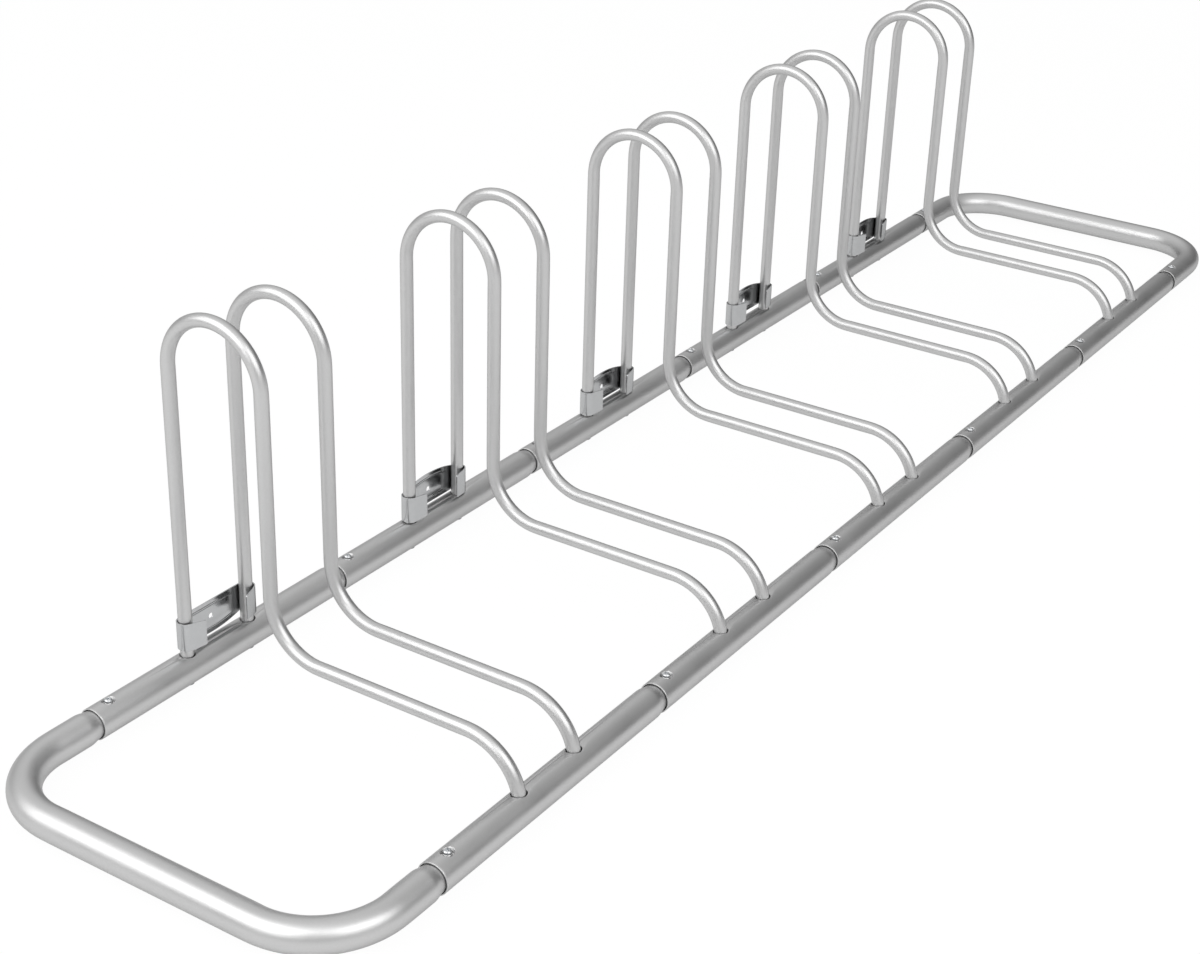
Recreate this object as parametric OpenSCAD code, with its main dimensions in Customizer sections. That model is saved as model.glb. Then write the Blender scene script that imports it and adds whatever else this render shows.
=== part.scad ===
// Floor bike rack with five wheel bays between two sectional rails
// X runs along the rails, Y from the front rail to the rear rail, Z up.
// The origin is at floor level, in the middle of the rack.

/* [Rack] */
// Distance from one wheel bay to the next
bay_pitch = 300; // [270:5:360]
// Distance between the centre lines of the front and rear rails
rail_spacing = 343; // [300:1:420]
// Height of the hoops above the floor
hoop_height = 348; // [290:1:420]
// Distance between the centre lines of the two hoops of a bay
hoop_spacing = 74; // [60:1:92]

/* [Rails] */
// Outside diameter of the rail and loop tube
rail_od = 28; // [24:0.5:34]
// Wall of the rail and loop tube
rail_wall = 1.2; // [1:0.1:1.6]
// Length of a drawn-down end inside the next tube
swage_len = 30; // [24:1:48]
// Length of the taper in front of a drawn-down end
swage_taper = 12; // [6:1:20]
// Clearance all round a drawn-down end
swage_clear = 0.1; // [0.05:0.05:0.3]
// How far the tube joints lie right of the middle between two bays
joint_shift = 4; // [-20:1:20]

/* [End loops] */
// Length of an end loop, from the ends of its legs to the centre line of its crossing tube
loop_reach = 142.5; // [124:0.5:220]
// Radius of the loop bends on the centre line
loop_bend_r = 70; // [44:1:78]

/* [Hoops] */
// Outside diameter of the hoop tube
hoop_od = 12; // [10:0.1:15.5]
// Wall of the hoop tube
hoop_wall = 1.2; // [1:0.1:1.5]
// Radius of the round top on the centre line
top_bend_r = 48.5; // [38:0.5:62]
// Radius of the bend from the front leg into the run forward
rear_bend_r = 49; // [36:1:64]
// Radius of the bend from the run down into the front rail
front_bend_r = 51; // [40:1:66]
// Straight length at the lower end of each leg, inside the rail
foot_straight = 12; // [10:0.5:16]
// Clearance all round a leg in its hole in the rail
leg_clear = 0.7; // [0.4:0.05:0.9]

/* [Clips] */
// Thickness of the clip sheet
clip_thick = 1.2; // [1:0.1:2]
// Height of the clip where it wraps the legs
clip_height = 25.5; // [20:0.5:34]
// Rise of the arched edge from the legs to the middle
clip_arch = 5.5; // [3:0.5:8]
// Clearance between the clip and the legs that it slides on
clip_clear = 0.3; // [0.3:0.05:0.6]
// Length of the flap across the front of a leg, from the leg's middle
clip_flap = 15.5; // [6:0.5:20]
// Diameter of the screw hole in the clip
clip_hole_d = 5; // [4:0.5:8]
// Height of the screw hole above the straight edge
clip_hole_height = 15; // [11:0.5:17]
// Width of the pressed beads
bead_w = 1.8; // [1.2:0.1:2.4]
// Height of the pressed beads
bead_h = 0.5; // [0.3:0.1:0.8]
// Distance from an edge of the clip to its bead
bead_inset = 3.4; // [2.5:0.1:4.5]
// Gap under a clip that rests on its rail
clip_low = 0.3; // [0.3:0.1:2]
// Gap under a clip that is pushed up a little
clip_raised = 3; // [2:0.5:12]
// Forward splay of a flap
flap_splay = 9; // [0:1:20]
// Forward splay of the first clip's flaps, which are bent open
flap_splay_wide = 17; // [0:1:25]

/* [Leg screws] */
// Shank diameter
leg_screw_d = 5; // [4:0.5:6]
// Shank length under the head
leg_screw_len = 12; // [10:1:16]
// Head diameter
leg_head_d = 9; // [8:0.5:11]
// Head height, which is also the rack's clearance from the floor
leg_head_h = 2.6; // [2:0.1:4]
// Clearance round the shank in the rail wall
leg_screw_clear = 0.25; // [0.1:0.05:0.5]

/* [Joint screws] */
// Shank diameter
joint_screw_d = 4.2; // [3.5:0.1:5]
// Shank length under the head
joint_screw_len = 8; // [6:1:14]
// Head diameter
joint_head_d = 7.4; // [6:0.1:8]
// Head height
joint_head_h = 3.4; // [2.4:0.1:4.4]
// Distance from the tube's cut end to the screw
joint_screw_inset = 18; // [13:1:22]
// Diameter of the seat pressed into the tube round the screw
joint_seat_d = 14; // [12:0.5:18]
// Depth of the seat
joint_seat_depth = 0.6; // [0.6:0.05:0.7]
// Clearance round the shank in the tube walls
joint_screw_clear = 0.1; // [0.05:0.05:0.3]

/* [Hidden] */
$fn = 72;
bay_count = 5;
// How far cuts run past the faces that they open
overrun = 1;
// Gap between a leg's end and the wall that it stands on
seat_gap = 0.03;
// The legs' cut height is rounded up to this
fine_step = 0.01;
// Gap all round an insert in its leg, and round a screw in its insert
insert_gap = 0.05;
// How far a clip's flap stands inside each face and edge of its wrap, which keeps their joint clean
flap_step = 0.03;
// How much of its straight foot a leg keeps clear of the insert
insert_margin = 1;
// Width of one arm of the cross recess, as a share of the head's diameter
recess_w_share = 0.13;
// Length of the cross recess, as a share of the head's diameter
recess_len_share = 0.52;
// Depth of the cross recess, as a share of the head's height
recess_depth_share = 0.5;
// Height of a head's upright side, as a share of the head's height
head_side_share = 0.5;
// Width of a head's flat end, as a share of the head's diameter
head_top_share = 0.68;
// How far a bead stops short of the legs, as a share of the plate's half width between them
bead_end_share = 0.12;
// Number of sides that a preview draws a wide arc with
arc_fn = 240;

rail_z = leg_head_h + rail_od / 2;
rail_top_z = rail_z + rail_od / 2;
rear_y = rail_spacing / 2;
front_y = -rear_y;
swage_od = rail_od - 2 * rail_wall - 2 * swage_clear;

leg_r = hoop_od / 2;
rail_bore_r = rail_od / 2 - rail_wall;
leg_seat_z = rail_z - sqrt(rail_bore_r * rail_bore_r - leg_r * leg_r) + seat_gap;
leg_end_z = ceil(leg_seat_z / fine_step) * fine_step;
insert_len = foot_straight - insert_margin;
front_bend_z = leg_end_z + foot_straight;
run_z = front_bend_z + front_bend_r;
rear_bend_z = run_z + rear_bend_r;
top_bend_z = hoop_height - leg_r - top_bend_r;
front_leg_y = rear_y - 2 * top_bend_r;
run_rear_y = front_leg_y - rear_bend_r;
run_front_y = front_y + front_bend_r;

// The left loop's ends lie inside the first rails, so this is the middle of the whole rack's length
middle_x = joint_shift + swage_len / 2;

// The front foot still leans back where it crosses the rail's top wall
lean_z = max(0, rail_top_z - rail_wall - front_bend_z);
lean_y = front_bend_r - sqrt(front_bend_r * front_bend_r - lean_z * lean_z);

clip_in_r = leg_r + clip_clear;
clip_out_r = clip_in_r + clip_thick;
arch_half_w = hoop_spacing / 2;
arch_r = (arch_half_w * arch_half_w + clip_arch * clip_arch) / (2 * clip_arch);
bead_half_w = (arch_half_w - clip_in_r) * (1 - bead_end_share);

clip_gaps = [clip_low, clip_low, clip_low, clip_raised, clip_low];
clip_splays = [flap_splay_wide, flap_splay, flap_splay, flap_splay, flap_splay];
clip_upside_down = [true, false, false, false, false];

bays = [0 : bay_count - 1];
rims = [0 : bay_count];
rail_ys = [rear_y, front_y];
sides = [-1, 1];

function side_name(side) = side < 0 ? "left" : "right";
function bay_x(bay) = (bay - (bay_count - 1) / 2) * bay_pitch - middle_x;
function rim_x(rim) = (rim - bay_count / 2) * bay_pitch + joint_shift - middle_x;
function hoop_x(bay, side) = bay_x(bay) + side * hoop_spacing / 2;

module ring(od, wall) {
    difference() {
        circle(d = od);
        circle(d = od - 2 * wall);
    }
}

// A straight tube that starts at the origin and runs along +Z
module tube(od, wall, length) {
    linear_extrude(length) ring(od, wall);
}

// A straight tube that starts at the origin and runs along +X
module tube_x(od, wall, length) {
    rotate([0, 90, 0]) tube(od, wall, length);
}

// A bent tube about the Z axis, from +X round towards +Y
module bend(od, wall, radius, turn) {
    rotate_extrude(angle = turn) translate([radius, 0]) ring(od, wall);
}

// A taper and a drawn-down end that runs along +X, with the next tube's cut end at the origin
module swage() {
    translate([-swage_taper, 0, 0]) rotate([0, 90, 0]) difference() {
        cylinder(d1 = rail_od, d2 = swage_od, h = swage_taper);
        cylinder(d1 = rail_od - 2 * rail_wall, d2 = swage_od - 2 * rail_wall, h = swage_taper);
    }
    tube_x(swage_od, rail_wall, swage_len);
}

// The screw hole and the seat round it, cut into the tube that starts at the given cut end
module joint_cut(rim, y) {
    seat_z = rail_top_z - joint_seat_depth;
    translate([rim_x(rim) + joint_screw_inset, y, 0]) {
        translate([0, 0, seat_z]) cylinder(d = joint_seat_d, h = joint_seat_depth + overrun);
        joint_hole();
    }
}

// The screw hole through a tube's top wall, at the screw's place
module joint_hole() {
    translate([0, 0, rail_z]) cylinder(d = joint_screw_d + 2 * joint_screw_clear, h = rail_od / 2 + overrun);
}

// The holes in a rail for the two legs of a bay and for the screws under them
module leg_cuts(bay, y) {
    leg_hole_y = y < 0 ? y + lean_y : y;
    for (side = sides) {
        translate([hoop_x(bay, side), leg_hole_y, rail_z])
            cylinder(r = leg_r + leg_clear, h = rail_od / 2 + overrun);
        translate([hoop_x(bay, side), y, 0])
            cylinder(d = leg_screw_d + 2 * leg_screw_clear, h = rail_z);
    }
}

module rail(bay, y) {
    full_len = bay_pitch - swage_taper;
    color("silver") difference() {
        translate([rim_x(bay), y, rail_z]) {
            tube_x(rail_od, rail_wall, full_len);
            translate([bay_pitch, 0, 0]) swage();
        }
        joint_cut(bay, y);
        translate([rim_x(bay + 1) + joint_screw_inset, y, 0]) joint_hole();
        leg_cuts(bay, y);
    }
}

// The bent part of an end loop, with its crossing tube above the Y axis and its legs towards +X
module loop_bow(leg_len) {
    cross_len = rail_spacing - 2 * loop_bend_r;
    translate([0, -cross_len / 2, rail_z]) rotate([-90, 0, 0])
        tube(rail_od, rail_wall, cross_len);
    for (side = sides) {
        translate([loop_bend_r, side * cross_len / 2, rail_z]) rotate([0, 0, side < 0 ? 180 : 90])
            bend(rail_od, rail_wall, loop_bend_r, 90);
        translate([loop_bend_r, side * rail_spacing / 2, rail_z])
            tube_x(rail_od, rail_wall, leg_len);
    }
}

module left_end_loop() {
    leg_end_x = rim_x(0) + swage_len;
    leg_len = loop_reach - swage_len - swage_taper - loop_bend_r;
    color("silver") difference() {
        union() {
            translate([leg_end_x - loop_reach, 0, 0]) loop_bow(leg_len);
            for (y = rail_ys) translate([rim_x(0), y, rail_z]) swage();
        }
        for (y = rail_ys) translate([rim_x(0) + joint_screw_inset, y, 0]) joint_hole();
    }
}

module right_end_loop() {
    leg_end_x = rim_x(bay_count);
    color("silver") difference() {
        translate([leg_end_x + loop_reach, 0, 0]) rotate([0, 0, 180]) loop_bow(loop_reach - loop_bend_r);
        for (y = rail_ys) joint_cut(bay_count, y);
    }
}

// One hoop, drawn in a plane whose X is the rack's Y and whose Y is the rack's Z
module hoop(bay, side) {
    color("gainsboro") translate([hoop_x(bay, side), 0, 0]) rotate([90, 0, 90]) {
        translate([rear_y, leg_end_z, 0]) rise(top_bend_z - leg_end_z);
        translate([rear_y - top_bend_r, top_bend_z, 0]) bend(hoop_od, hoop_wall, top_bend_r, 180);
        translate([front_leg_y, rear_bend_z, 0]) rise(top_bend_z - rear_bend_z);
        translate([run_rear_y, rear_bend_z, 0]) rotate([0, 0, -90])
            bend(hoop_od, hoop_wall, rear_bend_r, 90);
        translate([run_front_y, run_z, 0]) tube_x(hoop_od, hoop_wall, run_rear_y - run_front_y);
        translate([run_front_y, front_bend_z, 0]) rotate([0, 0, 90])
            bend(hoop_od, hoop_wall, front_bend_r, 90);
        translate([front_y, leg_end_z, 0]) rise(foot_straight);
    }
}

// A straight stretch of hoop tube that runs along +Y
module rise(length) {
    rotate([-90, 0, 0]) tube(hoop_od, hoop_wall, length);
}

// The clip's back plate, standing on its straight edge, with its front face on the XZ plane
module clip_plate() {
    rotate([90, 0, 0]) translate([0, 0, -clip_thick]) linear_extrude(clip_thick) difference() {
        intersection() {
            translate([0, clip_height + clip_arch - arch_r]) circle(arch_r, $fn = arc_fn);
            translate([-arch_half_w, 0]) square([2 * arch_half_w, clip_height + clip_arch + overrun]);
        }
        translate([0, clip_hole_height]) circle(d = clip_hole_d);
    }
    clip_beads();
}

// The two beads pressed forward out of the plate
module clip_beads() {
    rotate([90, 0, 0]) linear_extrude(bead_h) {
        translate([-bead_half_w, bead_inset]) square([2 * bead_half_w, bead_w]);
        intersection() {
            translate([0, clip_height + clip_arch - arch_r]) difference() {
                circle(arch_r - bead_inset, $fn = arc_fn);
                circle(arch_r - bead_inset - bead_w, $fn = arc_fn);
            }
            translate([-bead_half_w, clip_height / 2]) square([2 * bead_half_w, clip_height]);
        }
    }
}

// The right-hand end of the clip, wrapped round a leg that stands at the origin
module clip_wrap(splay) {
    cut = clip_out_r + overrun;
    cut_h = clip_height + 2 * overrun;
    difference() {
        cylinder(r = clip_out_r, h = clip_height);
        translate([0, 0, -overrun]) cylinder(r = clip_in_r, h = cut_h);
        translate([-cut, 0, -overrun]) cube([cut, cut, cut_h]);
        rotate([0, 0, splay]) translate([-cut, -cut, -overrun]) cube([cut, 2 * cut, cut_h]);
    }
    rotate([0, 0, splay]) translate([-clip_flap, flap_step - clip_out_r, flap_step])
        cube([clip_flap, clip_thick - 2 * flap_step, clip_height - 2 * flap_step]);
}

module clip(bay) {
    flipped = clip_upside_down[bay];
    clip_z = rail_top_z + clip_gaps[bay] + (flipped ? clip_height + clip_arch : 0);
    color("darkgray") translate([bay_x(bay), rear_y, clip_z]) mirror([0, 0, flipped ? 1 : 0]) {
        translate([0, clip_in_r, 0]) clip_plate();
        translate([hoop_spacing / 2, 0, 0]) clip_wrap(clip_splays[bay]);
        mirror([1, 0, 0]) translate([hoop_spacing / 2, 0, 0]) clip_wrap(clip_splays[bay]);
    }
}

// A cross-recess screw with its head above the XY plane and its shank below
module screw(shank_d, shank_len, head_d, head_h) {
    side_h = head_h * head_side_share;
    depth = head_h * recess_depth_share;
    translate([0, 0, -shank_len]) cylinder(d = shank_d, h = shank_len);
    difference() {
        union() {
            cylinder(d = head_d, h = side_h);
            translate([0, 0, side_h])
                cylinder(d1 = head_d, d2 = head_d * head_top_share, h = head_h - side_h);
        }
        for (turn = [0, 90]) rotate([0, 0, turn]) translate([0, 0, head_h + (overrun - depth) / 2])
            cube([head_d * recess_len_share, head_d * recess_w_share, depth + overrun], center = true);
    }
}

module joint_screws() {
    color("lightgray") for (rim = rims) for (y = rail_ys)
        translate([rim_x(rim) + joint_screw_inset, y, rail_top_z - joint_seat_depth])
            screw(joint_screw_d, joint_screw_len, joint_head_d, joint_head_h);
}

module leg_screws() {
    color("lightgray") for (bay = bays) for (side = sides) for (y = rail_ys)
        translate([hoop_x(bay, side), y, leg_head_h]) mirror([0, 0, 1])
            screw(leg_screw_d, leg_screw_len, leg_head_d, leg_head_h);
}

module leg_inserts() {
    color("gold") for (bay = bays) for (side = sides) for (y = rail_ys)
        translate([hoop_x(bay, side), y, leg_end_z]) difference() {
            cylinder(r = leg_r - hoop_wall - insert_gap, h = insert_len);
            translate([0, 0, -overrun])
                cylinder(d = leg_screw_d + 2 * insert_gap, h = insert_len + 2 * overrun);
        }
}

left_end_loop();
right_end_loop();
for (bay = bays) rail(bay, rear_y);
for (bay = bays) rail(bay, front_y);
for (bay = bays) for (side = sides)
    hoop(bay, side);
for (bay = bays) clip(bay);
joint_screws();
leg_screws();
leg_inserts();
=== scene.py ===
"""Floor bike rack: surfaces, finishes, floor, lamps and camera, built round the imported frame.

Lengths are in millimetres until a mesh is made, and in metres after that.
X runs along the rails, Y from the front rail to the rear rail, Z up from the floor.
"""

import math
from collections import namedtuple

import bpy
import numpy as np
from mathutils import Matrix, Vector


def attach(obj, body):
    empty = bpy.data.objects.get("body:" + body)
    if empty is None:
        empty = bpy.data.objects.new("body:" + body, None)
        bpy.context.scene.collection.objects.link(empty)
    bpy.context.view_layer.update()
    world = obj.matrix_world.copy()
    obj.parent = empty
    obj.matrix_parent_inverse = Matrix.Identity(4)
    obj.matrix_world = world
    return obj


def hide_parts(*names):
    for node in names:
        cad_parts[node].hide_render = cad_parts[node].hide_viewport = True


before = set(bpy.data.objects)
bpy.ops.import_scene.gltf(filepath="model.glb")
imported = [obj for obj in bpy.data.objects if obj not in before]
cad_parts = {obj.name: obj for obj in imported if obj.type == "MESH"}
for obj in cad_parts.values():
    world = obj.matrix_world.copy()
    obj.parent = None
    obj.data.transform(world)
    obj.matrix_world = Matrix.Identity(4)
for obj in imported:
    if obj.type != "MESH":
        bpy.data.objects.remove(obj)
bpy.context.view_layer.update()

MM = 0.001

# The rack's sizes, as in the part's source, apart from those that end with a comment
BAYS = 5
PITCH = 300.0
RAIL_Y = 171.5
RAIL_R = 14.0
RAIL_WALL = 1.2
RAIL_Z = 16.6
JOINT_SHIFT = 4.0
MIDDLE_X = 19.0
SWAGE_R = 12.2  # slimmer than the source's, for the dark gap line at each joint
SWAGE_LEN = 30.0
SWAGE_TAPER = 12.0
LOOP_REACH = 142.5
LOOP_BEND = 70.0
HOOP_R = 6.0
HOOP_WALL = 1.2
HOOP_HALF_GAP = 37.0
HOOP_FOOT_Z = 5.33
TOP_BEND = 48.5
TOP_BEND_Z = 293.5
REAR_BEND = 49.0
REAR_BEND_Z = 117.33
FRONT_BEND = 51.0
FRONT_BEND_Z = 17.33
LEG_HOLE_R = 6.7
LEG_NUDGE = 0.3  # moves the leg holes to the right, for the dark crescent on each leg's right
LEAN_Y = 1.449
CLIP_MID_R = 7.15  # wider than the source's, for the dark gap in front of each leg
CLIP_SHEET = 1.0  # thinner, for the same gap
CLIP_HEIGHT = 25.5
CLIP_ARCH = 5.5
CLIP_FLAP = 15.5
FLAP_CUT = 0.5  # shortens the flap, to make up for the wider wrap
FLAP_TAPER = 1.1  # narrows the flap's free end on each edge
FLAP_GAP = 0.7  # straight part in the middle of a wrap
FLAP_CORNER = 1.3  # rounds the flap's corners, as photographed
CLIP_HOLE_R = 2.5
CLIP_HOLE_Z = 15.0
CLIP_Z = (61.9, 30.9, 30.9, 33.6, 30.9)
CLIP_SPLAY = (17.0, 9.0, 9.0, 9.0, 9.0)
ARCH_HALF = 37.0
ARCH_R = (ARCH_HALF**2 + CLIP_ARCH**2) / (2 * CLIP_ARCH)
BEAD_HALF = 27.0  # rounded from 27.016
BEAD_INSET = 3.4
BEAD_W = 1.8
BEAD_H = 0.5
BEAD_SIDE = 0.5  # how far a bead's sides slope out past its width
JOINT_SCREW_X = 18.0
JOINT_SCREW_R = 2.1
JOINT_SCREW_LEN = 8.0
JOINT_HEAD_R = 3.4  # smaller than the source's, as photographed
JOINT_HEAD_H = 3.0  # lower, as photographed
JOINT_SEAT_R = 5.4  # a smaller dimple, as photographed
JOINT_SEAT_DEPTH = 1.3  # deeper, as photographed
LEG_SCREW_R = 2.5
LEG_SCREW_LEN = 12.0
LEG_HEAD_R = 4.5
LEG_HEAD_H = 2.6

# How the rails are pressed in, in the visual only
SEAT_WALL = 2.2
GROOVE_R = 4.2
GROOVE_DEPTH = 2.2
GROOVE_W = 0.6
SWELL = 0.05
SWELL_REACH = 20.0
PRESS_SOFT = 0.1
LEG_PRESS = 1.1
LEG_PRESS_REACH = 9.0
PRESS_PAST_LEG = 20.0
PRESS_FADE = 24.0
LIP = 0.2
LIP_REACH = 0.8
CREASE_DEPTH = 0.6
CREASE_W = 1.05
CREASE_REACH = 66.0
CREASE_FADE = 45.0
FRONT_CREASE, REAR_CREASE = 4.4, -0.6  # where the crease runs across a rail
FRONT_PRESS, REAR_PRESS = 0.3, 1.1  # how deep the flat between the legs is

# How closely the points of the meshes stand, and the blocks of quads that holes take the place of
FINE_STEP = 1.65
COARSE_STEP = 4.0
NEAR_HOLE = 16.0
LOOP_END = 60.0
LOOP_STEP = 3.4
HOOP_BEND_STEP = 2.6
HOOP_STEP = 6.0
HOOP_SIDES = 48
SHEET_STEP = 0.9
SEAT_BLOCK = 8.0
SEAT_BLOCK_ANGLE = math.radians(34)
SEAT_RINGS = (6.8, 6.4, 6.1, 5.8, 5.5, 5.2, 4.95, 4.7, 4.45, 4.2, 3.95, 3.7, 3.4, 3.0)
LEG_BLOCK = 9.8
LEG_BLOCK_ANGLE = math.radians(50)
LEG_RINGS = (8.6, 8.0, 7.5, 7.2)
FOOT_BLOCK = 4.8
FOOT_BLOCK_ANGLE = math.radians(21)
FOOT_RINGS = (4.2, 3.5)
PLATE_BLOCK = 4.5
FINE_PAST_LEG = 14.0
RIM_ROUND = 0.4
HOOP_RIM_ROUND = 0.2

# How much a tube's bends are flattened by the bending, as shares, and how slowly that fades
LOOP_FLATTEN = 0.025
LOOP_FADE = 24.0
HOOP_FLATTEN = 0.04
HOOP_FADE = 16.0

SHARP_ANGLE = math.radians(40)

# Light
FLOOR_SEEN = 0.965  # share of plain white in the floor that the camera sees; the rest shows the shadow
FLOOR_MIRRORED = 0.45  # and in the floor that the metal mirrors
SKY_LOW, SKY_HIGH = 0.5, 1.3
SKY_LOBES = (((70, 5), 0.97, 0.45, -0.68), ((135, 10), 0.95, 0.6, 0.3))  # way, near, far and gain


# Meshes


def new_piece(name, points, faces, material, body, stands_for):
    """A smooth-shaded mesh with its points in millimetres, riding on a body in place of its node."""
    mesh = bpy.data.meshes.new(name)
    mesh.from_pydata(np.asarray(points, float) * MM, [], faces)
    mesh.polygons.foreach_set("use_smooth", np.ones(len(mesh.polygons), bool))
    mesh.set_sharp_from_angle(angle=SHARP_ANGLE)
    mesh.materials.append(material)
    piece = bpy.data.objects.new(name, mesh)
    bpy.context.scene.collection.objects.link(piece)
    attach(piece, body)
    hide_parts(*stands_for)
    return piece


def closed_grid(rows, columns, left_out=()):
    """Quads of a grid of points that closes on itself both ways, without the given blocks of quads."""
    keep = np.ones((rows, columns), bool)
    for r0, r1, c0, c1 in left_out:
        keep[r0:r1, c0:c1] = False
    i, j = np.nonzero(keep)
    down, right = (i + 1) % rows, (j + 1) % columns
    return np.stack([i * columns + j, i * columns + right, down * columns + right, down * columns + j], 1)


def strip(outer, inner):
    """Quads between two closed loops of the same number of points."""
    return np.stack([outer, np.roll(outer, -1), np.roll(inner, -1), inner], 1)


def ease(x):
    """0 below 0, 1 above 1 and an S curve between them."""
    x = np.clip(x, 0, 1)
    return x * x * (3 - 2 * x)


def path_2d(start, heading, moves):
    """A flat path of straight lines and arcs, as a function of the distance along it.

    A move is (length, 0) for a line or (radius, turn in degrees) for an arc, with left turns above 0.
    The function gives the points, the directions as angles, and where on an arc they are as 0 to 1.
    """
    parts = []
    at, point, angle = 0.0, np.array(start, float), math.radians(heading)
    for size, turn in moves:
        turn = math.radians(turn)
        length = size if turn == 0 else size * abs(turn)
        parts.append((at, length, point, angle, size, turn))
        if turn == 0:
            point = point + size * np.array([math.cos(angle), math.sin(angle)])
        else:
            side = math.copysign(size, turn)
            point = point + side * np.array([
                math.sin(angle + turn) - math.sin(angle), math.cos(angle) - math.cos(angle + turn)])
        at, angle = at + length, angle + turn

    def along(s):
        x, y, a = np.zeros_like(s), np.zeros_like(s), np.zeros_like(s)
        for i, (begin, length, p, a0, size, turn) in enumerate(parts):
            last = i == len(parts) - 1
            here = (s >= begin if i else s > -np.inf) & ((s < begin + length) | last)
            d = s[here] - begin
            if turn == 0:
                x[here], y[here], a[here] = p[0] + d * math.cos(a0), p[1] + d * math.sin(a0), a0
            else:
                side = math.copysign(size, turn)
                now = a0 + d / side
                x[here] = p[0] + side * (np.sin(now) - math.sin(a0))
                y[here] = p[1] + side * (math.cos(a0) - np.cos(now))
                a[here] = now
        return x, y, a

    bends = [(begin, begin + length) for begin, length, _, _, _, turn in parts if turn]
    return along, at, bends


def in_bends(s, bends, fade):
    """1 on the arcs of a path and 0 on its lines, with an S curve of the given length between them."""
    share = np.zeros_like(s)
    for begin, end in bends:
        share = np.maximum(share, ease((s - begin) / fade + 0.5) * ease((end - s) / fade + 0.5))
    return share


def spaced(marks, step):
    """Distances that hold every mark and are evenly spaced between marks, at most a step apart."""
    counts = [max(1, math.ceil((b - a) / step - 1e-6)) for a, b in zip(marks, marks[1:])]
    spans = [np.linspace(a, b, n + 1)[:-1] for a, b, n in zip(marks, marks[1:], counts)]
    return np.append(np.concatenate(spans), marks[-1])


Hole = namedtuple("Hole", "at shift radius side reach half rings")


def tube(along, stops, turns, outer_r, wall, to_space, drop=None, holes=(), edge=0.25, lip=0.25):
    """A bent tube as one closed surface: the outside, a rounded rim, the inside and the other rim.

    A point is the path's point, plus the radius times the cosine of the turn across the path and times
    its sine upwards, where the radius is a function of the distance, less how deep in the wall the row
    lies. drop is how far the upper half is pressed down at a distance and a lateral place. A hole is in
    the top wall (side +1) or the bottom wall (side -1). It takes the place of a block of quads, its
    half length and half angle given, whose edge runs in to circles about the hole, largest first.
    """
    n, m = len(stops), len(turns)
    corner = np.radians([30, 60, 90])
    out, deep = edge * np.sin(corner), edge * (1 - np.cos(corner))
    rim_s, rim_depth = np.append(out, out[::-1]), np.append(deep, wall - deep[::-1])
    row_s = np.concatenate([stops, stops[-1] + rim_s, stops[::-1], stops[0] - rim_s])
    row_depth = np.concatenate([np.zeros(n), rim_depth, np.full(n, wall), rim_depth[::-1]])
    rows = len(row_s)
    inner = rows - 1 - len(rim_s)  # the inside row under outer row i is inner - i

    def place(s, turn, depth):
        x, y, heading = along(s)
        r = outer_r(s, turn) - depth
        lateral, up = r * np.cos(turn), r * np.sin(turn)
        if drop is not None:
            up = up - np.where(np.sin(turn) > 0, drop(s, lateral), 0)
        return to_space(x - lateral * np.sin(heading), y + lateral * np.cos(heading), up)

    grid_s, grid_turn = np.meshgrid(row_s, turns, indexing="ij")
    points = [place(grid_s, grid_turn, row_depth[:, None]).reshape(-1, 3)]
    count = rows * m
    faces, blocks = [], []
    for hole in holes:
        r0, r1 = (int(np.argmin(abs(stops - hole.at - d))) for d in (-hole.reach, hole.reach))
        middle = hole.side * math.pi / 2
        c0, c1 = (int(np.argmin(abs(turns - middle - d))) for d in (-hole.half, hole.half))
        across, down = np.arange(c0, c1), np.arange(r0, r1)
        i = np.concatenate([0 * across + r0, down, 0 * across + r1, down[::-1] + 1])
        j = np.concatenate([across, 0 * down + c1, across[::-1] + 1, 0 * down + c0])
        r = outer_r(stops[i], turns[j])
        edge_s, edge_l = stops[i], r * np.cos(turns[j])
        ray = np.arctan2(edge_l - hole.shift, edge_s - hole.at)
        first = hole.rings[0]
        steps = [(first, 0.35, 0.0), (first, 0.7, 0.0)] + [(ring, 1.0, 0.0) for ring in hole.rings]
        steps += [(hole.radius + lip, 1.0, 0.0), (hole.radius + lip * 0.3, 1.0, lip * 0.3)]
        steps += [(hole.radius, 1.0, lip), (hole.radius, 1.0, wall), (hole.radius, 0.6, wall)]
        loops = [i * m + j]
        for ring, inward, depth in steps:
            s = edge_s + (hole.at + ring * np.cos(ray) - edge_s) * inward
            lateral = edge_l + (hole.shift + ring * np.sin(ray) - edge_l) * inward
            points.append(place(s, hole.side * np.arccos(np.clip(lateral / (r - depth), -1, 1)), depth))
            loops.append(count + np.arange(len(i)))
            count += len(i)
        loops.append((inner - i) * m + j)
        faces += [strip(a, b) for a, b in zip(loops, loops[1:])]
        blocks += [(r0, r1, c0, c1), (inner - r1, inner - r0, c0, c1)]
    faces.append(closed_grid(rows, m, blocks))
    return np.concatenate(points), np.concatenate(faces).tolist()


def soft_above(x, soft):
    """x above 0 and 0 below it, with a rounded corner of the given softness."""
    return (x + np.sqrt(x * x + soft * soft)) / 2


# Rails and end loops

def rail_turns(crease):
    """Turns round a rail: close together on top, where holes and dents are, and closest at the crease."""
    crease = math.degrees(math.acos(crease / RAIL_R))
    top, rest = np.linspace(36, 144, 49), np.linspace(144, 396, 48)[1:-1]
    close = crease + np.arange(-6, 6.1, 1.0)
    turns = np.concatenate([top[abs(top - crease) > 6.8], close, rest])
    return np.radians(np.sort((turns + 180) % 360 - 180))


def rail_top(lateral):
    """Height of a rail's round top above its middle."""
    return np.sqrt(np.maximum(RAIL_R**2 - lateral**2, 0))


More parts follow.
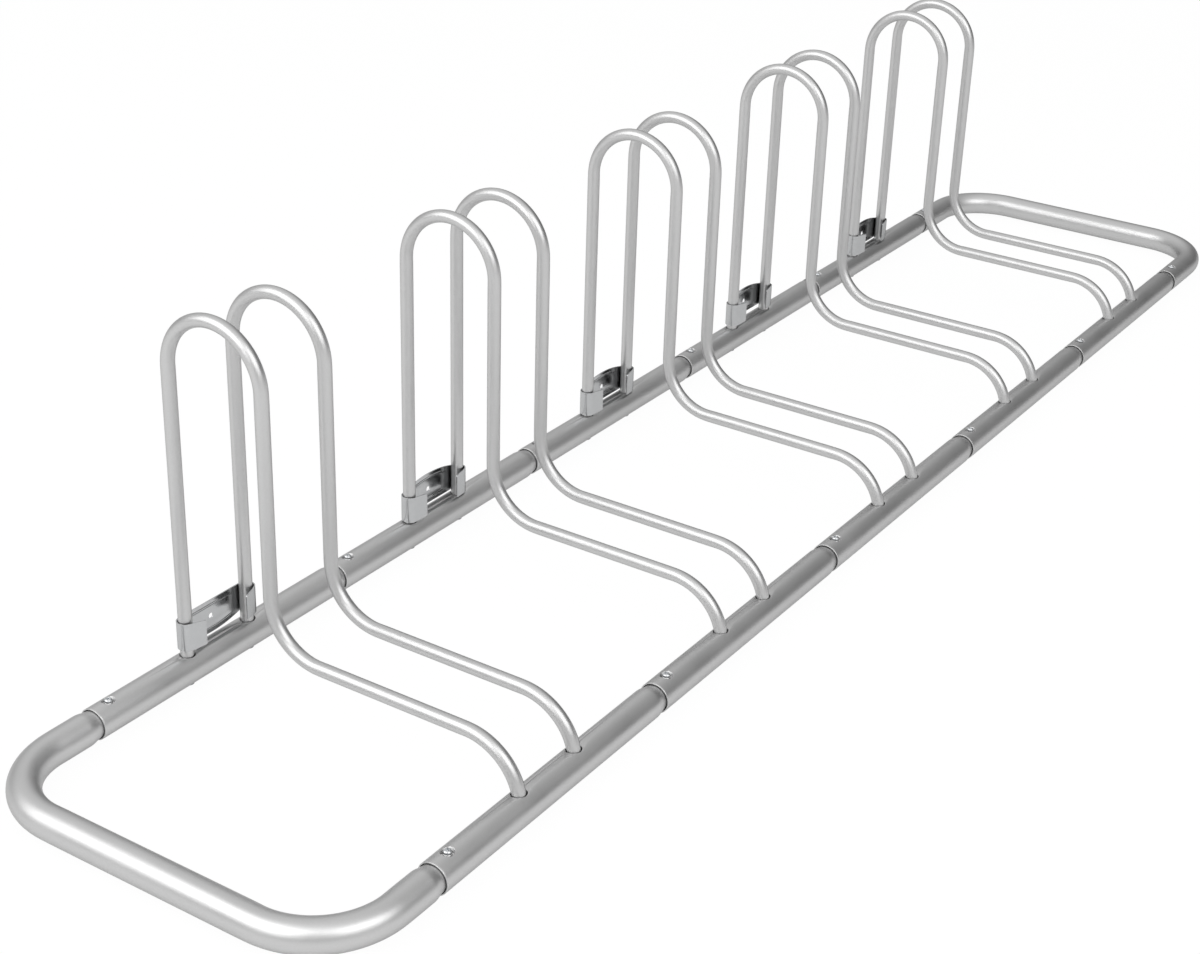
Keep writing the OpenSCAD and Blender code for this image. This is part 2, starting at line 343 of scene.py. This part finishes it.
def seat_drop(s, lateral, at):
    """How far a joint screw's dimple is pressed in.

    A level disc has a steep wall round it, and a groove with a Gaussian section goes round the head.
    """
    apart = np.hypot(s - at, lateral)
    floor = RAIL_R - JOINT_SEAT_DEPTH + SEAT_WALL * np.maximum(apart - JOINT_SEAT_R, 0)
    groove = GROOVE_DEPTH * np.exp(-((apart - GROOVE_R) / GROOVE_W) ** 2)
    swell = SWELL * np.exp(-apart / SWELL_REACH)
    return soft_above(rail_top(lateral) - floor, PRESS_SOFT) - swell + groove


def flat_drop(s, lateral, legs, shift, pressed):
    """How far a rail's top is pressed in to a flat, deepest at the legs and nearly as deep between them."""
    depth = pressed * ease((HOOP_HALF_GAP + PRESS_PAST_LEG - np.abs(s - sum(legs) / 2)) / PRESS_FADE)
    for at in legs:
        past = np.maximum(np.abs(s - at) - LEG_HOLE_R, 0)
        depth = np.hypot(depth, LEG_PRESS * np.exp(-past / LEG_PRESS_REACH))
    return soft_above(rail_top(lateral - shift) - (RAIL_R - depth), PRESS_SOFT) * ease(depth / 0.05)


def leg_drop(s, lateral, at, shift, crease):
    """How far a rail's top is turned in round a leg, with a crease that runs along the rail from the hole.

    The lip falls off as an exponential, and the crease has a Gaussian section.
    """
    apart = np.hypot(s - at, lateral - shift)
    fade = ease((CREASE_REACH - np.abs(s - at)) / CREASE_FADE)
    line = CREASE_DEPTH * np.exp(-((lateral - crease) / CREASE_W) ** 2) * fade
    return LIP * np.exp(-np.maximum(apart - LEG_HOLE_R, 0) / LIP_REACH) + line


def swage_r(s, shoulder):
    """Radius of a tube whose end past the shoulder is drawn down, with an S-shaped taper before it."""
    return RAIL_R - (RAIL_R - SWAGE_R) * ease((s - shoulder + SWAGE_TAPER) / SWAGE_TAPER)


def to_rail_height(x, y, up):
    return np.stack([x, y, RAIL_Z + up], -1)


def rim_x(rim):
    return (rim - BAYS / 2) * PITCH + JOINT_SHIFT - MIDDLE_X


def bay_x(bay):
    return (bay - (BAYS - 1) / 2) * PITCH - MIDDLE_X


def seat_hole(at):
    """A joint screw's hole, with circles of points that follow its dimple."""
    return Hole(at, 0.0, JOINT_SCREW_R + 0.1, 1, SEAT_BLOCK, SEAT_BLOCK_ANGLE, SEAT_RINGS)


def make_rail(row, bay, y):
    """A straight tube, plain at its left end and drawn down at its right end."""
    front = y < 0
    shift = LEAN_Y if front else 0.0
    crease = FRONT_CREASE if front else REAR_CREASE
    pressed = FRONT_PRESS if front else REAR_PRESS
    legs = [PITCH / 2 - JOINT_SHIFT + side * HOOP_HALF_GAP for side in (-1, 1)]
    seats = [JOINT_SCREW_X, PITCH + JOINT_SCREW_X]
    edge = RIM_ROUND
    marks = [edge, PITCH - SWAGE_TAPER, PITCH, PITCH + SWAGE_LEN - edge]
    around = (-FINE_PAST_LEG, -LEG_BLOCK, LEG_BLOCK, FINE_PAST_LEG)
    marks += [a + LEG_NUDGE + d for a in legs for d in around]
    marks += [a + d for a in seats for d in (-SEAT_BLOCK, SEAT_BLOCK)]
    marks = np.sort(marks)
    near = np.min([abs((marks[1:] + marks[:-1]) / 2 - a) for a in legs + seats], axis=0)
    spans = [spaced([a, b], FINE_STEP if d < NEAR_HOLE or a >= PITCH - SWAGE_TAPER else COARSE_STEP)[:-1]
             for a, b, d in zip(marks, marks[1:], near)]
    stops = np.append(np.concatenate(spans), marks[-1])

    def drop(s, lateral):
        total = flat_drop(s, lateral, [at + LEG_NUDGE for at in legs], shift, pressed)
        total = total + sum(leg_drop(s, lateral, at + LEG_NUDGE, shift, crease) for at in legs)
        return total + sum(seat_drop(s, lateral, at) for at in seats)

    holes = [Hole(at + LEG_NUDGE, shift, LEG_HOLE_R, 1, LEG_BLOCK, LEG_BLOCK_ANGLE, LEG_RINGS)
             for at in legs]
    holes += [Hole(at, 0.0, LEG_SCREW_R + 0.25, -1, FOOT_BLOCK, FOOT_BLOCK_ANGLE, FOOT_RINGS)
              for at in legs]
    holes += [seat_hole(at) for at in seats]
    along, _, _ = path_2d((rim_x(bay), y), 0, [(PITCH + SWAGE_LEN, 0)])
    points, faces = tube(along, stops, rail_turns(crease), lambda s, turn: swage_r(s, PITCH) + 0 * turn,
                         RAIL_WALL, to_rail_height, drop, holes, edge)
    return new_piece(f"{row}_rail_tube_{bay + 1}", points, faces, SILVER_COAT, "rack",
                     [f"{row}_rail_{bay + 1}"])


def make_loop(side):
    """A tube bent to a U, whose legs lie in line with the rails."""
    left = side < 0
    straight = LOOP_REACH - LOOP_BEND
    leg_end = rim_x(0) + SWAGE_LEN if left else rim_x(BAYS)
    start = (leg_end, side * RAIL_Y)
    cross = 2 * (RAIL_Y - LOOP_BEND)
    moves = [(straight, 0), (LOOP_BEND, -90), (cross, 0), (LOOP_BEND, -90), (straight, 0)]
    along, total, bends = path_2d(start, 0 if side > 0 else 180, moves)
    edge = RIM_ROUND
    seat = SWAGE_LEN - JOINT_SCREW_X if left else JOINT_SCREW_X
    seats = [seat, total - seat]
    marks = [edge, *[a + d for a in seats for d in (-SEAT_BLOCK, SEAT_BLOCK)], total - edge]
    if left:
        marks += [SWAGE_LEN, SWAGE_LEN + SWAGE_TAPER, total - SWAGE_LEN, total - SWAGE_LEN - SWAGE_TAPER]
    ends = spaced(sorted(m for m in marks if m < LOOP_END) + [LOOP_END], FINE_STEP)
    middle = spaced([LOOP_END, *[b for pair in bends for b in pair], total - LOOP_END], LOOP_STEP)
    stops = np.concatenate([ends, middle[1:-1], total - ends[::-1]])

    def radius(s, turn):
        r = RAIL_R * (1 - LOOP_FLATTEN * in_bends(s, bends, LOOP_FADE) * np.cos(turn) ** 2)
        if left:
            r = r - (RAIL_R - swage_r(-s, -SWAGE_LEN)) - (RAIL_R - swage_r(s, total - SWAGE_LEN))
        return r

    def drop(s, lateral):
        return sum(seat_drop(s, lateral, at) for at in seats)

    holes = [seat_hole(at) for at in seats]
    points, faces = tube(along, stops, rail_turns(0), radius, RAIL_WALL, to_rail_height, drop, holes, edge)
    name = "left" if left else "right"
    return new_piece(f"{name}_end_loop_tube", points, faces, SILVER_COAT, "rack",
                     [f"{name}_end_loop"])


# Hoops

def make_hoop(bay, side):
    """A thin tube: rear leg, round top, front leg, bend, level run, bend and front foot."""
    run = RAIL_Y - 2 * TOP_BEND - REAR_BEND + RAIL_Y - FRONT_BEND
    moves = [(TOP_BEND_Z - HOOP_FOOT_Z, 0), (TOP_BEND, 180), (TOP_BEND_Z - REAR_BEND_Z, 0), (REAR_BEND, -90),
             (run, 0), (FRONT_BEND, 90), (FRONT_BEND_Z - HOOP_FOOT_Z, 0)]
    along, total, bends = path_2d((RAIL_Y, HOOP_FOOT_Z), 90, moves)
    edge = HOOP_RIM_ROUND
    lines = [edge, *[b for pair in bends for b in pair], total - edge]
    spans = [spaced([a, b], HOOP_BEND_STEP if k % 2 else HOOP_STEP)[:-1]
             for k, (a, b) in enumerate(zip(lines, lines[1:]))]
    stops = np.append(np.concatenate(spans), total - edge)
    x = bay_x(bay) + side * HOOP_HALF_GAP

    def radius(s, turn):
        return HOOP_R * (1 - HOOP_FLATTEN * in_bends(s, bends, HOOP_FADE) * np.cos(turn) ** 2)

    turns = np.linspace(-math.pi, math.pi, HOOP_SIDES + 1)[1:]
    points, faces = tube(along, stops, turns, radius, HOOP_WALL,
                         lambda y, z, up: np.stack([x + up, y, z], -1), edge=edge)
    name = "left" if side < 0 else "right"
    return new_piece(f"hoop_tube_{bay + 1}_{name}", points, faces, SILVER_COAT, "rack",
                     [f"hoop_{bay + 1}_{name}"])


# Clips

def make_clip(bay):
    """One folded sheet: flap, wrap, plate with an arched edge, wrap and flap.

    The profile is a plate half, an arc round the leg and a flap, mirrored about the clip's middle. The
    beads and the sheet's thickness stand square to it, and heights run from the straight edge up.
    """
    splay = CLIP_SPLAY[bay]
    moves = [(HOOP_HALF_GAP, 0), (CLIP_MID_R, -90), (FLAP_GAP, 0), (CLIP_MID_R, splay - 90),
             (CLIP_FLAP - FLAP_CUT, 0)]
    along, total, bends = path_2d((0, CLIP_MID_R), 0, moves)
    flap_start = bends[1][1]
    block = PLATE_BLOCK
    half_s = spaced([0, block, BEAD_HALF, HOOP_HALF_GAP, flap_start, total - FLAP_CORNER, total - 0.5,
                     total - 0.1, total], SHEET_STEP)
    s = np.concatenate([-half_s[:0:-1], half_s])
    h = spaced([0, 0.15, 0.6, 1.3, BEAD_INSET - 0.7, BEAD_INSET + BEAD_W + 0.7, CLIP_HOLE_Z - block,
                CLIP_HOLE_Z + block, CLIP_HOLE_Z + block + 0.3, CLIP_HEIGHT - 0.6, CLIP_HEIGHT - 0.15,
                CLIP_HEIGHT], 0.5)
    s, h = s[:, None] + 0 * h, h[None] + 0 * s[:, None]

    def place(s, h):
        x, y, heading = along(np.abs(s))
        arch = np.sqrt(ARCH_R**2 - np.minimum(x, ARCH_HALF) ** 2) - ARCH_R + CLIP_ARCH
        arch = np.where(np.abs(s) < HOOP_HALF_GAP, arch, 0)
        z = h + arch * np.clip((h - CLIP_HOLE_Z - block) / 0.3, 0, 1)
        corner = np.clip(np.abs(s) - (total - FLAP_CORNER), 0, FLAP_CORNER)
        cut = FLAP_CORNER - np.sqrt(np.maximum(FLAP_CORNER**2 - corner**2, 0))
        cut = cut + FLAP_TAPER * ease((np.abs(s) - flap_start) / CLIP_FLAP)
        z = cut + z * (CLIP_HEIGHT - 2 * cut) / CLIP_HEIGHT
        low = (z - BEAD_INSET - BEAD_W / 2) / (BEAD_W / 2 + BEAD_SIDE)
        from_edge = ARCH_R - np.hypot(x, z - CLIP_HEIGHT - CLIP_ARCH + ARCH_R)
        high = (from_edge - BEAD_INSET - BEAD_W / 2) / (BEAD_W / 2 + BEAD_SIDE)
        bead = sum(np.cos(np.clip(b, -1, 1) * math.pi / 2) ** 2 for b in (low, high))
        bead = BEAD_H * bead * ease((BEAD_HALF - x) / 3) * (np.abs(s) < HOOP_HALF_GAP)
        x, y = x + bead * np.sin(heading), y - bead * np.cos(heading)
        return np.stack([np.sign(s) * x, y, z], -1)

    rows, columns = s.shape
    points = [place(s, h).reshape(-1, 3)]
    r0, r1 = (int(np.argmin(abs(s[:, 0] - d))) for d in (-block, block))
    c0, c1 = (int(np.argmin(abs(h[0] - CLIP_HOLE_Z - d))) for d in (-block, block))
    down, across = np.arange(r0, r1), np.arange(c0, c1)
    i = np.concatenate([0 * across + r0, down, 0 * across + r1, down[::-1] + 1])
    j = np.concatenate([across, 0 * down + c1, across[::-1] + 1, 0 * down + c0])
    edge_s, edge_h = s[i, j], h[i, j]
    ray = np.arctan2(edge_h - CLIP_HOLE_Z, edge_s)
    loops = [i * columns + j]
    count = rows * columns
    for inward in (0.35, 0.7, 0.9, 1.0):
        hole_s = edge_s + (CLIP_HOLE_R * np.cos(ray) - edge_s) * inward
        hole_h = edge_h + (CLIP_HOLE_Z + CLIP_HOLE_R * np.sin(ray) - edge_h) * inward
        points.append(place(hole_s, hole_h))
        loops.append(count + np.arange(len(i)))
        count += len(i)
    keep = np.ones((rows - 1, columns - 1), bool)
    keep[r0:r1, c0:c1] = False
    a, b = np.nonzero(keep)
    corner = a * columns + b
    faces = [np.stack([corner, corner + 1, corner + columns + 1, corner + columns], 1)]
    faces += [strip(p, q) for p, q in zip(loops, loops[1:])]
    points = np.concatenate(points)
    faces = np.concatenate(faces)
    if bay == 0:
        points = points * [1, 1, -1]
        faces = faces[:, ::-1]
    points = points + [bay_x(bay), RAIL_Y, CLIP_Z[bay]]
    piece = new_piece(f"clip_sheet_{bay + 1}", points, faces.tolist(), ZINC_SHEET, f"clip_{bay + 1}",
                      [f"clip_{bay + 1}"])
    wall = piece.modifiers.new("sheet thickness", "SOLIDIFY")
    wall.thickness = CLIP_SHEET * MM
    wall.offset = 0
    wall.use_even_offset = True
    rounding = piece.modifiers.new("sheared edges", "BEVEL")
    rounding.width = 0.18 * MM
    rounding.segments = 2
    rounding.limit_method = "ANGLE"
    rounding.angle_limit = math.radians(50)
    return piece


# Screws

def screw(shank_r, length, head_r, head_h):
    """A screw with its head above the XY plane: a low dome with a cross recess, a side and a pointed shank.

    The recess's outline is a cross in polar form, so that the rows of points follow its edges.
    """
    arm, reach = 0.13 * head_r, 0.55 * head_r
    tip = math.atan2(arm, reach)
    quarter = np.concatenate([np.linspace(0, tip, 3), np.linspace(tip, math.pi / 4, 4)[1:]])
    eighth = np.concatenate([quarter, math.pi / 2 - quarter[-2:0:-1]])
    turns = np.concatenate([eighth + k * math.pi / 2 for k in range(4)])
    folded = np.abs((turns + math.pi / 4) % (math.pi / 2) - math.pi / 4)
    outline = np.minimum(reach / np.cos(folded), arm / np.maximum(np.sin(folded), 1e-9))

    def dome(r):
        return head_h * (0.5 + 0.5 * np.sqrt(np.maximum(1 - (r / head_r) ** 2.6, 0)))

    one = np.ones_like(turns)
    pit = head_h * 0.5
    rows = [(outline * 0.7, one * (pit - 0.1)), (outline * 0.88, one * pit), (outline, dome(outline) - 0.08),
            (outline + 0.07, dome(outline + 0.07))]
    for t in (0.2, 0.4, 0.6, 0.78, 0.9, 0.97, 1.0):
        r = outline + 0.07 + (head_r - outline - 0.07) * t
        rows.append((r, dome(r)))
    rows += [(one * head_r, one * 0.25), (one * (head_r - 0.07), one * 0.07),
             (one * (head_r - 0.25), one * 0), (one * shank_r, one * 0)]
    pitch = 1.4
    for k in range(int((length - 2.2) / pitch * 2)):
        rows.append((one * (shank_r - 0.35 * (k % 2)), one * (-0.5 - k * pitch / 2)))
    rows.append((one * shank_r * 0.25, one * -length))
    m = len(turns)
    ring = np.concatenate([np.stack([r * np.cos(turns), r * np.sin(turns), z], -1) for r, z in rows])
    points = np.concatenate([ring, [[0, 0, pit - 0.1], [0, 0, -length]]])
    k = np.arange(m)
    faces = [[len(ring), a, (a + 1) % m] for a in k]
    for row in range(len(rows) - 1):
        faces += strip(row * m + m + k, row * m + k).tolist()
    last = (len(rows) - 1) * m
    faces += [[len(ring) + 1, last + (a + 1) % m, last + a] for a in k]
    return points, faces


def make_screws(name, one, places, node, material):
    """The same screw at every place, each turned differently. A place is (x, y, z, +1 for head up)."""
    points, faces = one
    all_points, all_faces = [], []
    for k, (x, y, z, up) in enumerate(places):
        turn = k * 2.4 + 0.5
        c, d = math.cos(turn), math.sin(turn)
        turned = points @ np.array([[c, d, 0], [-d, c, 0], [0, 0, 1]])
        all_points.append(turned * [1, up, up] + [x, y, z])
        all_faces += [[v + k * len(points) for v in face] for face in faces]
    return new_piece(name, np.concatenate(all_points), all_faces, material, "rack", [node])


# Finishes

def tint(code):
    """An sRGB hex colour as linear light."""
    value = np.array([int(code[k:k + 2], 16) for k in (1, 3, 5)]) / 255
    linear = np.where(value <= 0.04045, value / 12.92, ((value + 0.055) / 1.055) ** 2.4)
    return (*linear.tolist(), 1.0)


def add(tree, kind, inputs=None, **settings):
    """A node with its settings, and its inputs as values or as (node, output) links."""
    made = tree.nodes.new(kind)
    for name, value in settings.items():
        setattr(made, name, value)
    for name, value in (inputs or {}).items():
        if isinstance(value, tuple) and isinstance(value[0], bpy.types.Node):
            tree.links.new(value[0].outputs[value[1]], made.inputs[name])
        else:
            made.inputs[name].default_value = value
    return made


def metal(name, colour, rough, metallic, grain_mm, grain, wave_mm, wave, edge_tint):
    """A metal finish: a fine grain in its brightness and relief, and slow waves in its colour and gloss."""
    material = bpy.data.materials.new(name)
    material.use_nodes = True
    tree = material.node_tree
    tree.nodes.clear()
    place = (add(tree, "ShaderNodeTexCoord"), "Object")
    fine = add(tree, "ShaderNodeTexNoise", {"Vector": place, "Scale": 1 / (grain_mm * MM), "Detail": 3.0})
    slow = add(tree, "ShaderNodeTexNoise", {"Vector": place, "Scale": 1 / (wave_mm * MM), "Detail": 2.0})
    shade = add(tree, "ShaderNodeMapRange", {"Value": (fine, "Fac"), "From Min": 0.3, "From Max": 0.7,
                                             "To Min": 1 - wave, "To Max": 1 + wave})
    base = add(tree, "ShaderNodeMix", {"Factor": (slow, "Fac"), "A": tint(colour[0]), "B": tint(colour[1])},
               data_type="RGBA")
    lit = add(tree, "ShaderNodeVectorMath", {0: (base, 2), 1: (shade, 0)}, operation="MULTIPLY")
    gloss = add(tree, "ShaderNodeMapRange", {"Value": (slow, "Fac"), "From Min": 0.3, "From Max": 0.7,
                                             "To Min": rough - 0.03, "To Max": rough + 0.03})
    relief = add(tree, "ShaderNodeBump", {"Height": (fine, "Fac"), "Strength": grain, "Distance": 0.0001})
    surface = add(tree, "ShaderNodeBsdfPrincipled", {
        "Base Color": (lit, 0), "Roughness": (gloss, 0), "Metallic": metallic, "Normal": (relief, "Normal"),
        "Specular Tint": (edge_tint, edge_tint, edge_tint, 1.0)})
    add(tree, "ShaderNodeOutputMaterial", {"Surface": (surface, "BSDF")})
    return material


# A satin silver powder coat gives the tubes soft, wide streaks of light with slightly darker edges. Its real
# grain of about 0.3 mm is too fine for the picture and is drawn at 1.1 mm, and its tone drifts a little
# along each tube.
SILVER_COAT = metal(
    "silver powder coat on steel tube", ("#BCBCBC", "#C2C2C2"), 0.41, 1.0, 1.1, 0.15, 60, 0.02, 0.65)
# Zinc plated, rolled sheet is smoother than the coat, so that the plate mirrors its flaps and the legs as
# dark bands with a fairly sharp edge. Its faint cloudy patches are about 9 mm across.
ZINC_SHEET = metal(
    "zinc plated pressed sheet", ("#ADAEAF", "#B7B8B9"), 0.18, 1.0, 0.9, 0.08, 9, 0.03, 0.75)
# Bright zinc plating gives each joint screw a small sharp glint in its dull dimple.
ZINC_SCREW = metal(
    "bright zinc plated screw steel", ("#C4C6C8", "#CFD1D3"), 0.16, 1.0, 0.6, 0.05, 3, 0.03, 0.9)
# The screw heads that touch the floor get a darker grey, painted shade for the shadow under the rails,
# and a duller gloss, so that they read as small dull grey feet.
SHADED_FOOT_SCREW = metal(
    "zinc plated foot screw steel darkened with painted shade", ("#85878A", "#909295"), 0.42, 1.0, 0.6, 0.1, 3, 0.04, 0.8)
# Plain turned steel, seen only inside the legs, is a little warmer and duller than the plating.
INSERT_STEEL = metal(
    "turned steel insert", ("#A9A8A4", "#B5B4B0"), 0.35, 1.0, 0.8, 0.1, 6, 0.03, 0.8)


# The rack

for bay in range(BAYS):
    make_rail("rear", bay, RAIL_Y)
    make_rail("front", bay, -RAIL_Y)
    make_hoop(bay, -1)
    make_hoop(bay, 1)
    make_clip(bay)
make_loop(-1)
make_loop(1)
seat_z = RAIL_Z + RAIL_R - JOINT_SEAT_DEPTH
make_screws("joint_screw_set", screw(JOINT_SCREW_R, JOINT_SCREW_LEN, JOINT_HEAD_R, JOINT_HEAD_H),
            [(rim_x(rim) + JOINT_SCREW_X, y, seat_z, 1)
             for rim in range(BAYS + 1) for y in (RAIL_Y, -RAIL_Y)],
            "joint_screws", ZINC_SCREW)
# The leg screws' darker grey is painted shade, for the shadow under the rails.
make_screws("leg_screw_set", screw(LEG_SCREW_R, LEG_SCREW_LEN, LEG_HEAD_R, LEG_HEAD_H),
            [(bay_x(bay) + side * HOOP_HALF_GAP, y, LEG_HEAD_H, -1)
             for bay in range(BAYS) for side in (-1, 1) for y in (RAIL_Y, -RAIL_Y)],
            "leg_screws", SHADED_FOOT_SCREW)
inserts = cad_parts["leg_inserts"]
inserts.data.materials.clear()
inserts.data.materials.append(INSERT_STEEL)


# Floor, lamps, world and camera

def pale_floor():
    """A matt pale floor, mixed with plain white light by one share for the camera and one for the metal."""
    mesh = bpy.data.meshes.new("floor")
    mesh.from_pydata([(-40, -40, 0), (40, -40, 0), (40, 40, 0), (-40, 40, 0)], [], [(0, 1, 2, 3)])
    floor = bpy.data.objects.new("floor", mesh)
    bpy.context.scene.collection.objects.link(floor)
    material = bpy.data.materials.new("pale matt floor")
    material.use_nodes = True
    tree = material.node_tree
    tree.nodes.clear()
    ray = add(tree, "ShaderNodeLightPath")
    mirrored = add(tree, "ShaderNodeMath", {0: (ray, "Is Glossy Ray"), 1: (ray, "Is Transmission Ray")},
                   operation="MAXIMUM")
    share = add(tree, "ShaderNodeMath", {0: (mirrored, 0), 1: FLOOR_MIRRORED}, operation="MULTIPLY")
    seen = add(tree, "ShaderNodeMath", {0: (ray, "Is Camera Ray"), 1: FLOOR_SEEN}, operation="MULTIPLY")
    share = add(tree, "ShaderNodeMath", {0: (seen, 0), 1: (share, 0)}, operation="MAXIMUM")
    matt = add(tree, "ShaderNodeBsdfDiffuse", {"Color": tint("#F0F0F0")})
    white = add(tree, "ShaderNodeEmission", {"Color": (1, 1, 1, 1), "Strength": 1.0})
    mix = add(tree, "ShaderNodeMixShader", {0: (share, 0), 1: (matt, 0), 2: (white, 0)})
    add(tree, "ShaderNodeOutputMaterial", {"Surface": (mix, 0)})
    mesh.materials.append(material)


def lamp(name, place, aim, size, power):
    """A rectangular soft box that faces the aim point."""
    light = bpy.data.lights.new(name, "AREA")
    light.shape = "RECTANGLE"
    light.size, light.size_y = size
    light.energy = power
    box = bpy.data.objects.new(name, light)
    box.location = place
    box.rotation_euler = (Vector(aim) - Vector(place)).to_track_quat("-Z", "Y").to_euler()
    bpy.context.scene.collection.objects.link(box)


def toward(azimuth, height):
    """The direction at an azimuth from -Y towards +X and a height above the floor, both in degrees."""
    azimuth, height = math.radians(azimuth), math.radians(height)
    level = math.cos(height)
    return Vector((math.sin(azimuth) * level, -math.cos(azimuth) * level, math.sin(height)))


def sky():
    """A soft grey room: lighter overhead and behind the rack, darker to the right of it."""
    world = bpy.data.worlds.new("studio")
    bpy.context.scene.world = world
    world.use_nodes = True
    tree = world.node_tree
    tree.nodes.clear()
    way = (add(tree, "ShaderNodeTexCoord"), "Generated")
    height = add(tree, "ShaderNodeSeparateXYZ", {0: way})
    light = add(tree, "ShaderNodeMapRange", {"Value": (height, "Z"), "From Min": 0.0, "From Max": 1.0,
                                             "To Min": SKY_LOW, "To Max": SKY_HIGH})
    for centre, near, far, gain in SKY_LOBES:
        share = add(tree, "ShaderNodeVectorMath", {0: way, 1: toward(*centre)}, operation="DOT_PRODUCT")
        lobe = add(tree, "ShaderNodeMapRange", {"Value": (share, "Value"), "From Min": far, "From Max": near,
                                                "To Min": 1.0, "To Max": 1.0 + gain},
                   interpolation_type="SMOOTHSTEP")
        light = add(tree, "ShaderNodeMath", {0: (light, 0), 1: (lobe, 0)}, operation="MULTIPLY")
    back = add(tree, "ShaderNodeBackground", {"Strength": (light, 0)})
    add(tree, "ShaderNodeOutputWorld", {"Surface": (back, 0)})


pale_floor()
sky()
lamp("left soft box", toward(-110, 38) * 4, (0, 0, 0.1), (5.0, 3.4), 108)
lamp("front soft box", toward(-18, 38) * 3.6, (0, 0, 0.1), (3.2, 2.4), 50)

camera_data = bpy.data.cameras.new("camera")
camera_data.lens = 63.463
camera_data.sensor_width = 36
camera = bpy.data.objects.new("camera", camera_data)
bpy.context.scene.collection.objects.link(camera)
away, down, roll = (math.radians(a) for a in (57.182, 26.558, -1.859))
forward = Vector((math.sin(away) * math.cos(down), math.cos(away) * math.cos(down), -math.sin(down)))
right = Vector((math.cos(away), -math.sin(away), 0))
up = right.cross(forward)
right, up = (math.cos(roll) * right - math.sin(roll) * up, math.sin(roll) * right + math.cos(roll) * up)
camera.matrix_world = Matrix.Translation((-1.7446, -0.9363, 0.9650)) @ Matrix((
    (right.x, up.x, -forward.x), (right.y, up.y, -forward.y), (right.z, up.z, -forward.z))).to_4x4()
bpy.context.scene.camera = camera

bpy.context.scene.view_settings.view_transform = "Standard"
